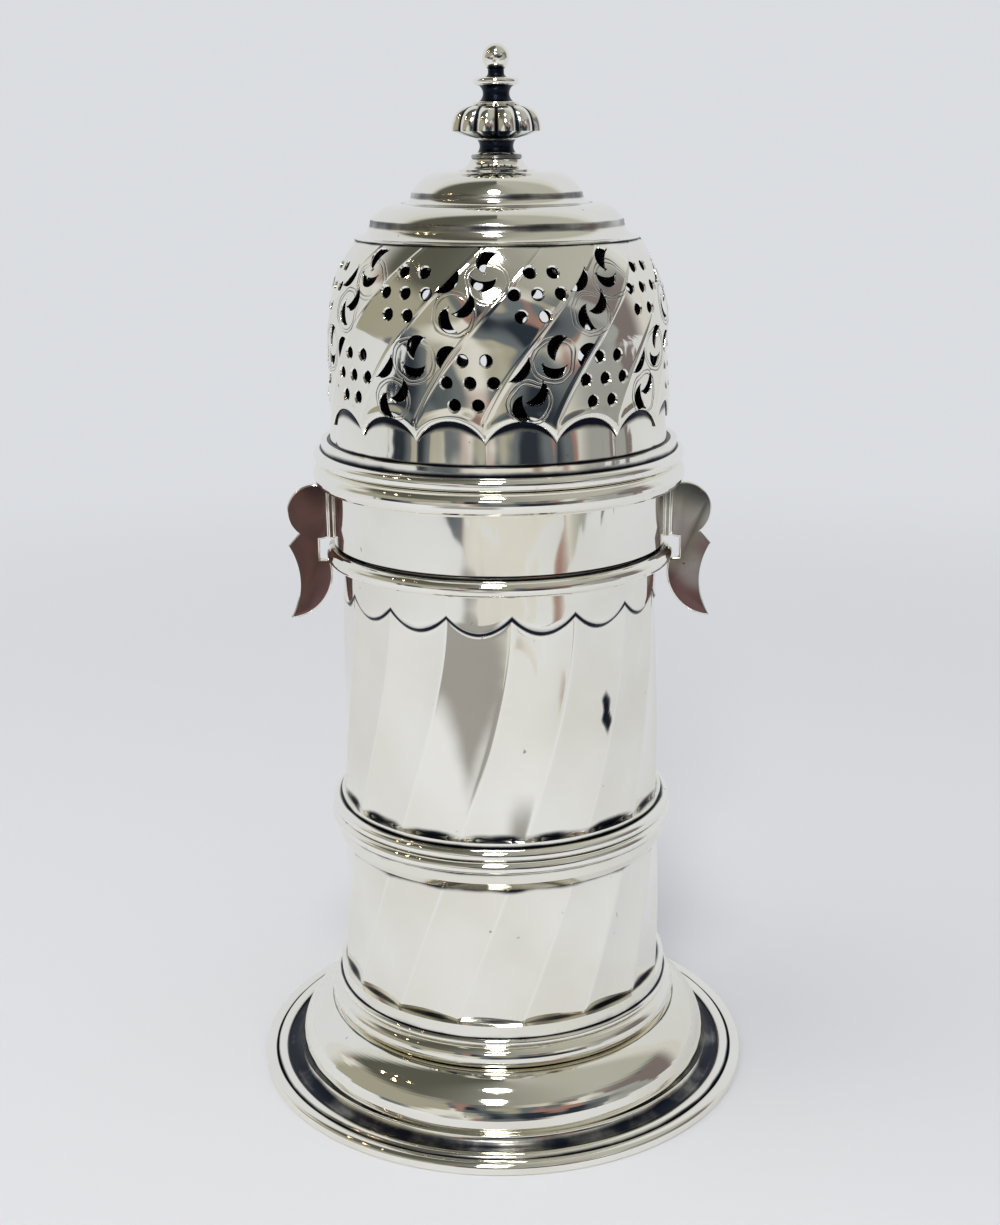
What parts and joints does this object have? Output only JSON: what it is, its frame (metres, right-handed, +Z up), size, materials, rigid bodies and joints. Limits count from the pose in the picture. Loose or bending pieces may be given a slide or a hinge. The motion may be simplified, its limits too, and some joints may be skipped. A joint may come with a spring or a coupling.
{
  "type": "sugar caster",
  "caption": "Silver sugar caster with a spirally fluted barrel on a spreading foot and a pierced domed cover that lifts off once its two scroll lugs are turned out of a rim wire.",
  "frame": {"origin": "centre of the foot on the table", "axes": "+Z up along the caster's axis, +X towards the right lug, -Y to the front"},
  "size_m": [0.0886, 0.0886, 0.1784],
  "materials": {
    "polished_silver": "polished sterling silver, tarnished dark in the grooves",
    "dull_silver": "unpolished silver inside the cover and the barrel"
  },
  "bodies": {
    "body": {"foot": "polished_silver", "foot_rim": "polished_silver", "collet": "polished_silver", "barrel": "polished_silver", "floor_disc": "dull_silver", "girdle": "polished_silver", "rim_wire": "polished_silver"},
    "cover_carrier": {"finial_washer": "dull_silver"},
    "cover": {"cover_collar": "polished_silver", "left_lug": "polished_silver", "right_lug": "polished_silver", "lug_straps": "polished_silver", "cover_moulding": "polished_silver", "pierced_drum": "polished_silver", "dome": "polished_silver", "finial_foot": "polished_silver", "finial_knop": "polished_silver", "finial_spire": "polished_silver", "finial_stud": "dull_silver", "finial_nut": "dull_silver"}
  },
  "joints": [
    {"name": "cover_lift", "type": "slide", "parent": "body", "child": "cover_carrier", "axis": [0, 0, 1], "range_m": [0, 0.09]},
    {"name": "cover_twist", "type": "hinge", "parent": "cover_carrier", "child": "cover", "pos_m": [0, 0, 0.097], "axis": [0, 0, 1], "range_deg": [-20, 0]}
  ]
}
